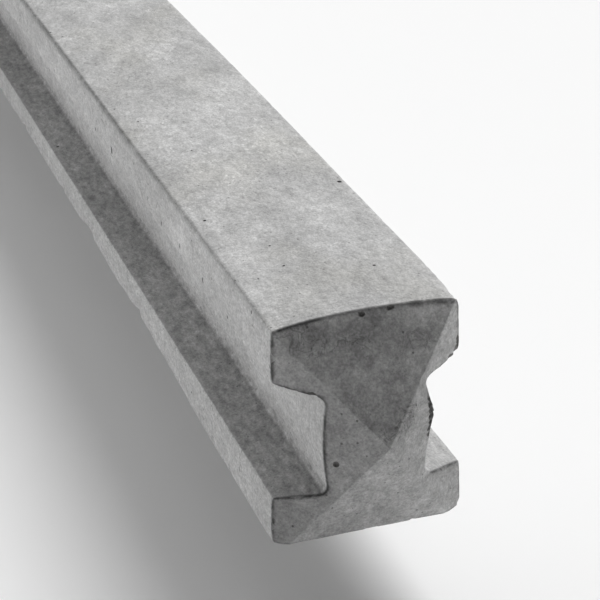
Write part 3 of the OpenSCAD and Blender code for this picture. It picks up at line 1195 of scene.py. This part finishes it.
def steel_material(name, bare, rust, rust_share):
    """Dull reinforcing steel with patches of rust."""
    n = Nodes(bpy.data.materials.new(name))
    shift = rust_share * 0.4
    patches = n.span(n.noise((160, 90, 160), 6, 0.65), 0.62 - shift, 0.74 - shift)
    grain = n.ramp(n.noise((1400, 500, 1400), 3), 0.3, 0.7, 0.85, 1.12)
    return n.surface({
        "Base Color": n.shade(n.tint(patches, bare, rust), grain),
        "Roughness": n.blend(patches, 0.45, 0.88), "Metallic": n.blend(patches, 0.85, 0.1),
        "Normal": n.bump(n.noise((2200, 900, 2200), 3), 0.3, 0.0003),
    })


def floor_material():
    """A plain pale studio floor."""
    n = Nodes(bpy.data.materials.new("studio_floor"))
    return n.surface({"Base Color": FLOOR_COLOUR, "Roughness": 0.9, "Specular IOR Level": 0.0})


# ---------------- stage

# The post is shown a little clear of the floor, as on bearers out of view.
FLOOR_Z = -0.050
FLOOR_REACH = 30.0


def make_floor():
    mesh = bpy.data.meshes.new("floor")
    turns = ((-1, -1), (1, -1), (1, 1), (-1, 1))
    corners = [(x * FLOOR_REACH, y * FLOOR_REACH, FLOOR_Z) for x, y in turns]
    mesh.from_pydata(corners, [], [[0, 1, 2, 3]])
    floor = new_object("floor", mesh)
    mesh.materials.append(floor_material())


def make_sun(name, toward, share, spread):
    """A soft lamp far away, towards a direction, that adds share to a surface facing it."""
    data = bpy.data.lights.new(name, "SUN")
    data.energy = share * math.pi
    data.angle = math.radians(spread)
    lamp = new_object(name, data)
    lamp.rotation_mode = "QUATERNION"
    lamp.rotation_quaternion = Vector(toward).to_track_quat("Z", "Y")


# The main lamp: the direction it stands in, its strength and how many degrees it spans.
KEY_TOWARD, KEY_SHARE, KEY_SPREAD = (0.55, 0.70, 1.0), 0.79, 31
# Soft light from behind the post, and a little from its right: (towards, strength).
GLOWS = [((0.0, 1.0, 0.25), 1.19), ((1.0, 0.0, 0.25), 0.20), ((1.0, -0.5, 0.2), 0.16)]
LIGHT_COLOUR = (1.0, 1.0, 1.0)
BACKDROP_COLOUR = (0.97, 0.97, 0.97)


def make_world():
    """Soft light for the object, and plain white for what the camera sees."""
    world = bpy.data.worlds.new("studio")
    bpy.context.scene.world = world
    n = Nodes(world)
    total = 0.0
    for toward, strength in GLOWS:
        peak = Vector(toward).normalized() * strength
        facing = n.vector("DOT_PRODUCT", n.direction, peak, "Value")
        total = n.plus(total, n.math("MAXIMUM", facing))
    light = n.tree.nodes["Background"]
    n.link(LIGHT_COLOUR, light.inputs["Color"])
    n.link(total, light.inputs["Strength"])
    seen = n.new("Background", {"Color": BACKDROP_COLOUR})
    direct = n.new("LightPath", {}).outputs["Is Camera Ray"]
    pick = n.new("MixShader", {0: direct, 1: light.outputs[0], 2: seen.outputs[0]})
    n.link(pick.outputs[0], n.tree.nodes["World Output"].inputs["Surface"])


# Camera: where it stands from the middle of the cap's base, and how it is turned, in degrees.
CAMERA_FROM_CAP = Vector((-0.2565, -0.6889, 0.4599))
CAMERA_AZIMUTH = -18.17
CAMERA_ELEVATION = 25.19
CAMERA_ROLL = -1.31
CAMERA_LENS = 112.9


def make_camera():
    data = bpy.data.cameras.new("camera")
    data.lens = CAMERA_LENS
    data.clip_start = 0.01
    camera = new_object("camera", data)
    camera.location = CAMERA_FROM_CAP + Vector((0, CAP_BASE_Y * MM, 0))
    turn, tilt = math.radians(CAMERA_AZIMUTH), math.radians(CAMERA_ELEVATION)
    flat = math.cos(tilt)
    back = Vector((math.sin(turn) * flat, -math.cos(turn) * flat, math.sin(tilt)))
    level = (-back).to_track_quat("-Z", "Y")
    roll = Matrix.Rotation(math.radians(CAMERA_ROLL), 3, "Z").to_quaternion()
    camera.rotation_mode = "QUATERNION"
    camera.rotation_quaternion = level @ roll
    bpy.context.scene.camera = camera


# ---------------- build

SHARP_ANGLE = 30
# Bare metal, rust and the share of rust.
BAR_STEEL = (0.20, 0.18, 0.165), (0.16, 0.065, 0.028), 0.6
LINK_WIRE = (0.30, 0.295, 0.285), (0.17, 0.075, 0.035), 0.3


def make_body():
    body = worn_body()
    body.data.materials.append(concrete_material())
    broken = shaded_broken_material()
    cut(body, "chips", chips(), broken)
    cut(body, "bubbles", bubbles(), broken)
    mesh = body.data
    mesh.name = "post_body"
    drop_doubled_faces(mesh)
    mesh.shade_smooth()
    mesh.set_sharp_from_angle(angle=math.radians(SHARP_ANGLE))
    mark_stains(mesh)
    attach(body, "root")
    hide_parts("concrete_body")


def dress_cage():
    steels = {
        "main_bar": steel_material("bar_steel", *BAR_STEEL),
        "wire_link": steel_material("link_wire", *LINK_WIRE),
    }
    for name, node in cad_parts.items():
        for start, steel in steels.items():
            if name.startswith(start):
                node.data.materials.clear()
                node.data.materials.append(steel)


make_camera()
make_world()
make_floor()
make_sun("key", KEY_TOWARD, KEY_SHARE, KEY_SPREAD)
make_body()
dress_cage()
bpy.context.scene.view_settings.view_transform = "Standard"
